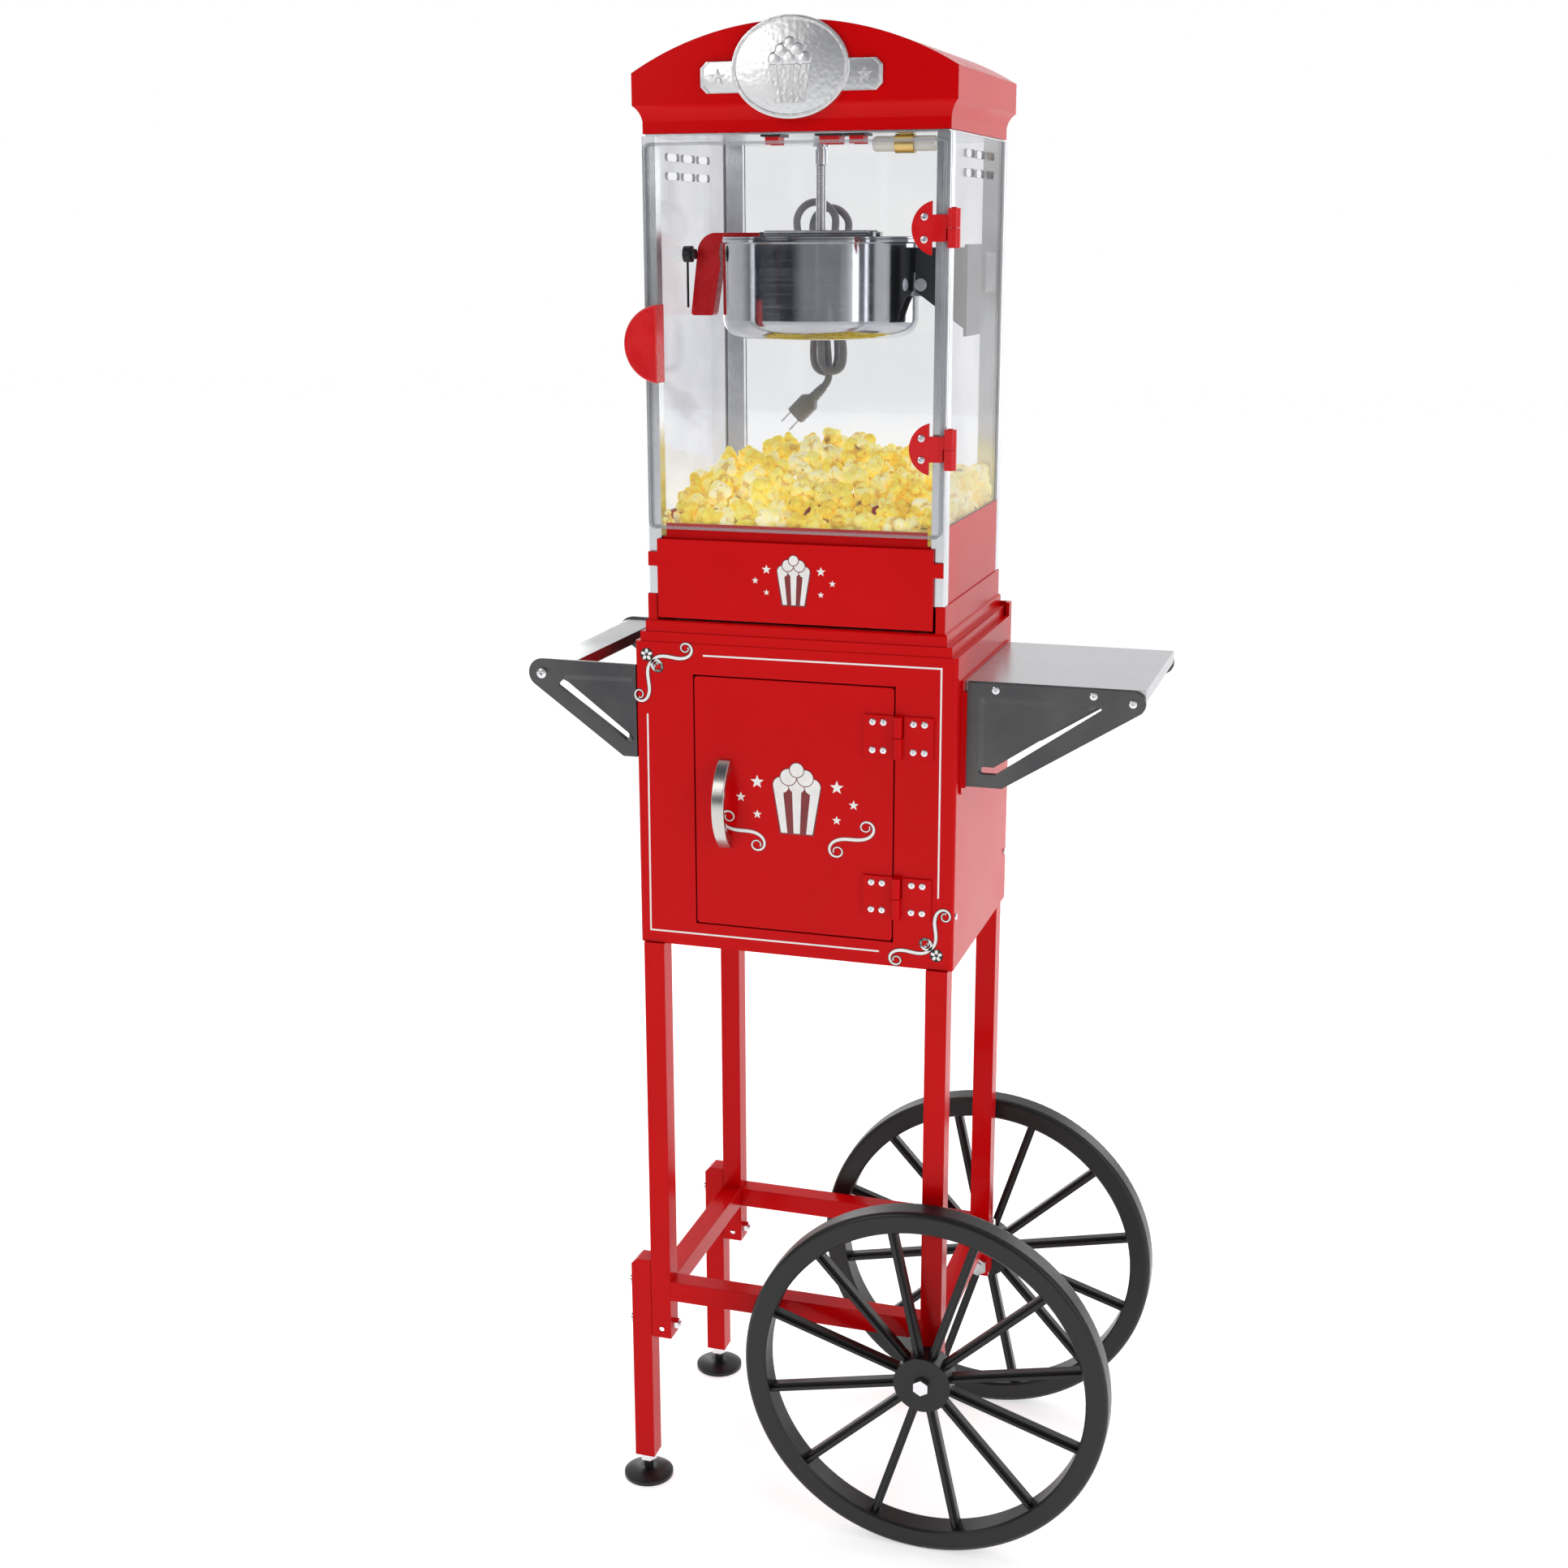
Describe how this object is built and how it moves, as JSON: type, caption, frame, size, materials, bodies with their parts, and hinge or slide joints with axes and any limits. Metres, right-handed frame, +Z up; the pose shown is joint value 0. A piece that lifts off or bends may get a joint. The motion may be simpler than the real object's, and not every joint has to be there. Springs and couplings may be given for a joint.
{
  "type": "popcorn maker",
  "caption": "Popcorn cart: glazed popping head with a tilting kettle on a cabinet stand with large wheels, levelling feet, a side shelf and a push bar.",
  "frame": {"origin": "on the floor, below the middle of the cart's overall box, measured without the mains lead", "axes": "+Z up, -Y out of the cart's front, +X towards the wheels and the shelf"},
  "size_m": [0.623, 0.3551, 1.5305],
  "materials": {
    "red_steel": "gloss red enamel",
    "red_plastic": "moulded red plastic",
    "stainless": "polished stainless steel",
    "black_steel": "black powder coat",
    "zinc": "bright zinc plate",
    "nickel": "satin nickel",
    "aluminium": "satin anodised",
    "clear_pane": "clear acrylic",
    "lamp_glass": "clear lamp tube",
    "brass": "plain",
    "black_plastic": "moulded black plastic",
    "grey_plastic": "moulded grey",
    "badge": "silver-white moulding",
    "cord_rubber": "dark grey cable sheath"
  },
  "bodies": {
    "root": {"cabinet_shell": "red_steel", "cabinet_back": "red_steel", "legs": "red_steel", "stretchers": "red_steel", "foot_posts": "red_steel", "head_base": "red_steel", "skirts": "red_steel", "canopy": "red_steel", "shelf_rail": "red_steel", "door_hinge_mounts": "red_plastic", "deck": "stainless", "crumb_tray": "stainless", "shelf": "stainless", "push_bar": "stainless", "shelf_brackets": "stainless", "push_brackets": "stainless", "kettle_bracket": "black_steel", "case_screws": "zinc", "frame_bolts": "zinc", "frame_nuts": "zinc", "axle_bolts": "zinc", "kettle_pin": "zinc", "cabinet_hinge_mounts": "nickel", "posts": "aluminium", "ceiling_panel": "aluminium", "side_windows": "clear_pane", "back_window": "clear_pane", "lamp": "lamp_glass", "lamp_holder": "brass", "switch_housings": "black_plastic", "handle_rest": "black_plastic", "junction_box": "grey_plastic", "drive_motor": "grey_plastic", "plaque": "badge", "cord_gland": "cord_rubber", "cord_lead": "cord_rubber", "cord_hank": "cord_rubber", "plug": "cord_rubber"},
    "wheel_front": {"wheel_front": "black_plastic"},
    "wheel_rear": {"wheel_rear": "black_plastic"},
    "levelling_foot_front": {"levelling_foot_front": "black_plastic"},
    "levelling_foot_rear": {"levelling_foot_rear": "black_plastic"},
    "cabinet_door": {"cabinet_door": "red_steel", "cabinet_door_pull": "nickel", "cabinet_hinge_leaves": "nickel", "cabinet_door_screws": "zinc"},
    "glass_door": {"glass_door": "clear_pane", "glass_door_handle": "red_plastic", "door_hinge_leaves": "red_plastic", "door_hinge_screws": "zinc"},
    "drop_panel": {"drop_panel": "red_steel"},
    "drive_shaft": {"drive_shaft": "zinc"},
    "kettle": {"kettle": "stainless", "kettle_handle": "red_plastic"},
    "agitator": {"agitator": "stainless"},
    "lid_flap_front": {"lid_flap_front": "stainless"},
    "lid_flap_rear": {"lid_flap_rear": "stainless"},
    "switch_light": {"switch_light": "red_plastic"},
    "switch_kettle": {"switch_kettle": "red_plastic"},
    "switch_motor": {"switch_motor": "red_plastic"}
  },
  "joints": [
    {"name": "wheel_front_spin", "type": "hinge", "parent": "root", "child": "wheel_front", "pos_m": [0.1195, -0.153, 0.192], "axis": [0, 1, 0], "continuous": true},
    {"name": "wheel_rear_spin", "type": "hinge", "parent": "root", "child": "wheel_rear", "pos_m": [0.1195, 0.153, 0.192], "axis": [0, 1, 0], "continuous": true},
    {"name": "foot_front_height", "type": "slide", "parent": "root", "child": "levelling_foot_front", "axis": [0, 0, 1], "range_m": [0, 0.008]},
    {"name": "foot_rear_height", "type": "slide", "parent": "root", "child": "levelling_foot_rear", "axis": [0, 0, 1], "range_m": [0, 0.008]},
    {"name": "cabinet_door_hinge", "type": "hinge", "parent": "root", "child": "cabinet_door", "pos_m": [0.0777, -0.133, 0.785], "axis": [0, 0, 1], "range_deg": [0, 110]},
    {"name": "glass_door_hinge", "type": "hinge", "parent": "root", "child": "glass_door", "pos_m": [0.1245, -0.1315, 1.244], "axis": [0, 0, 1], "range_deg": [0, 110]},
    {"name": "drop_panel_hinge", "type": "hinge", "parent": "root", "child": "drop_panel", "pos_m": [-0.03, -0.122, 0.98], "axis": [1, 0, 0], "range_deg": [0, 80]},
    {"name": "kettle_tilt", "type": "hinge", "parent": "root", "child": "kettle", "pos_m": [0.066, 0, 1.291], "axis": [0, -1, 0], "range_deg": [0, 45]},
    {"name": "agitator_spin", "type": "hinge", "parent": "kettle", "child": "agitator", "pos_m": [-0.0395, 0, 1.3], "axis": [0, 0, 1], "continuous": true},
    {"name": "drive_spin", "type": "hinge", "parent": "root", "child": "drive_shaft", "pos_m": [-0.0395, 0, 1.415], "axis": [0, 0, 1], "continuous": true},
    {"name": "lid_flap_front_hinge", "type": "hinge", "parent": "kettle", "child": "lid_flap_front", "pos_m": [-0.0395, -0.016, 1.3395], "axis": [-1, 0, 0], "range_deg": [0, 75]},
    {"name": "lid_flap_rear_hinge", "type": "hinge", "parent": "kettle", "child": "lid_flap_rear", "pos_m": [-0.0395, 0.016, 1.3395], "axis": [1, 0, 0], "range_deg": [0, 75]},
    {"name": "switch_light_rock", "type": "hinge", "parent": "root", "child": "switch_light", "pos_m": [-0.0535, -0.106, 1.431], "axis": [1, 0, 0], "range_deg": [-7, 7]},
    {"name": "switch_kettle_rock", "type": "hinge", "parent": "root", "child": "switch_kettle", "pos_m": [0.002, -0.106, 1.431], "axis": [1, 0, 0], "range_deg": [-7, 7]},
    {"name": "switch_motor_rock", "type": "hinge", "parent": "root", "child": "switch_motor", "pos_m": [0.0275, -0.106, 1.431], "axis": [1, 0, 0], "range_deg": [-7, 7]}
  ],
  "couplings": [
    {"joint": "drive_spin", "follows": "agitator_spin", "ratio": 1}
  ]
}
